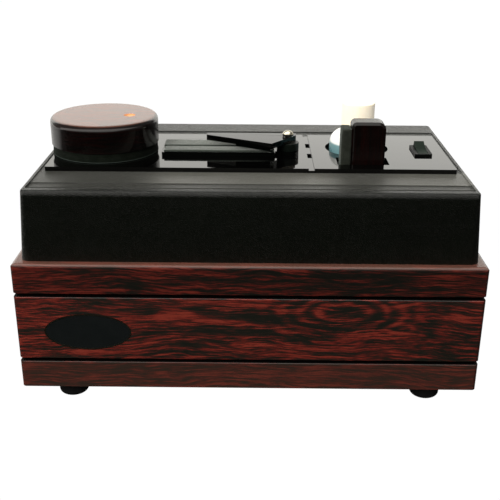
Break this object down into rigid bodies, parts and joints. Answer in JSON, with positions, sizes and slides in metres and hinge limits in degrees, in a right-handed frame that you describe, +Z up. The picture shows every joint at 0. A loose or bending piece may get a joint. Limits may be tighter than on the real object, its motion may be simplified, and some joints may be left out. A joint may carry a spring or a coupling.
{
  "type": "record cleaning machine",
  "caption": "Hand-turned vacuum record cleaning machine: wooden cabinet, moulded cover, glossy deck with platter, suction slot, swing arm, fluid bottle, brush and rocker switch.",
  "frame": {"origin": "on the floor, below the centre of the cabinet", "axes": "+X to the right seen from the front, +Y to the back, +Z up"},
  "size_m": [0.397, 0.25, 0.2415],
  "materials": {
    "rosewood": "lacquered dark red rosewood laminate with black streaks",
    "raw_wood": "bare softwood",
    "base_board": "bare hardboard",
    "bare_cup": "bare light wood",
    "rubber": "matt black",
    "screw_steel": "zinc plated",
    "badge_black": "black enamel",
    "badge_gold": "thin gold line",
    "abs_grain": "leather-grained moulded black",
    "acrylic": "polished black sheet",
    "black_plastic": "satin black",
    "felt": "short grey-green pile",
    "mat_felt": "black felt",
    "bronze": "sintered bronze",
    "brass": "polished",
    "block_plastic": "dark green-black",
    "bottle": "translucent polyethylene",
    "fluid": "teal cleaning fluid",
    "cap_cream": "smooth cream",
    "rocker": "dark green-grey",
    "tank_plastic": "natural white",
    "fan_alloy": "pressed sheet",
    "motor_steel": "dark grey",
    "stator_iron": "laminated iron",
    "wire": "insulated leads"
  },
  "bodies": {
    "machine": {"cabinet_front": "rosewood", "cabinet_back": "rosewood", "cabinet_left": "rosewood", "cabinet_right": "rosewood", "base_panel": "base_board", "base_cleats": "raw_wood", "base_screws": "screw_steel", "feet": "rubber", "badge_plate": "badge_black", "badge_rim": "badge_gold", "cover_cleats": "raw_wood", "top_cover": "abs_grain", "cover_screws": "screw_steel", "deck_plate": "acrylic", "small_screws": "screw_steel", "spindle_bush": "bronze", "slot_body": "acrylic", "lip_rear": "felt", "lip_front": "felt", "suction_funnel": "black_plastic", "pivot_post": "block_plastic", "pivot_stud": "screw_steel", "pivot_washer": "screw_steel", "bottle_well": "black_plastic", "brush_well": "black_plastic", "switch_frame": "black_plastic", "waste_tank": "tank_plastic", "tank_lid": "tank_plastic", "fan_housing": "fan_alloy", "fan_horn": "fan_alloy", "motor_can": "motor_steel", "motor_stator": "stator_iron", "motor_bearings": "screw_steel", "motor_bracket": "motor_steel", "intake_cuff": "rubber", "drain_trough": "black_plastic", "rear_panel": "black_plastic", "mains_inlet": "black_plastic", "fuse_holder": "black_plastic", "drain_spout": "tank_plastic", "wiring": "wire"},
    "turntable": {"platter": "black_plastic", "platter_mat": "mat_felt", "spindle": "screw_steel", "spindle_clip": "screw_steel"},
    "cap": {"label_cap": "rosewood", "cap_pad": "rubber", "finger_insert": "bare_cup"},
    "arm": {"slot_arm": "acrylic", "arm_pad": "mat_felt"},
    "knob": {"arm_knob": "brass"},
    "bottle": {"bottle_body": "bottle", "bottle_fluid": "fluid"},
    "bottle_top": {"bottle_cap": "cap_cream"},
    "brush": {"brush_handle": "rosewood", "brush_pad": "felt"},
    "rocker": {"switch_rocker": "rocker"},
    "fan": {"impeller": "fan_alloy", "motor_shaft": "screw_steel"},
    "outlet_cap": {"drain_cap": "rubber"}
  },
  "joints": [
    {"name": "platter_spin", "type": "hinge", "parent": "machine", "child": "turntable", "pos_m": [-0.135, 0, 0.198], "axis": [0, 0, 1], "continuous": true},
    {"name": "cap_lift", "type": "slide", "parent": "turntable", "child": "cap", "axis": [0, 0, 1], "range_m": [0, 0.045]},
    {"name": "arm_swing", "type": "hinge", "parent": "machine", "child": "arm", "pos_m": [0.0338, -0.007, 0.2085], "axis": [0, 0, 1], "range_deg": [0, 105]},
    {"name": "knob_turn", "type": "hinge", "parent": "machine", "child": "knob", "pos_m": [0.0338, -0.007, 0.2143], "axis": [0, 0, 1], "continuous": true},
    {"name": "bottle_lift", "type": "slide", "parent": "machine", "child": "bottle", "axis": [0, 0, 1], "range_m": [0, 0.11]},
    {"name": "bottle_cap_turn", "type": "hinge", "parent": "bottle", "child": "bottle_top", "pos_m": [0.0993, 0.0115, 0.2182], "axis": [0, 0, 1], "continuous": true},
    {"name": "brush_lift", "type": "slide", "parent": "machine", "child": "brush", "axis": [0, 0, 1], "range_m": [0, 0.07]},
    {"name": "switch_rock", "type": "hinge", "parent": "machine", "child": "rocker", "pos_m": [0.1577, -0.001, 0.1985], "axis": [1, 0, 0], "range_deg": [-24, 0]},
    {"name": "fan_spin", "type": "hinge", "parent": "machine", "child": "fan", "pos_m": [-0.1, 0, 0.094], "axis": [1, 0, 0], "continuous": true},
    {"name": "drain_cap_pull", "type": "slide", "parent": "machine", "child": "outlet_cap", "axis": [0, 1, 0], "range_m": [0, 0.012]}
  ]
}
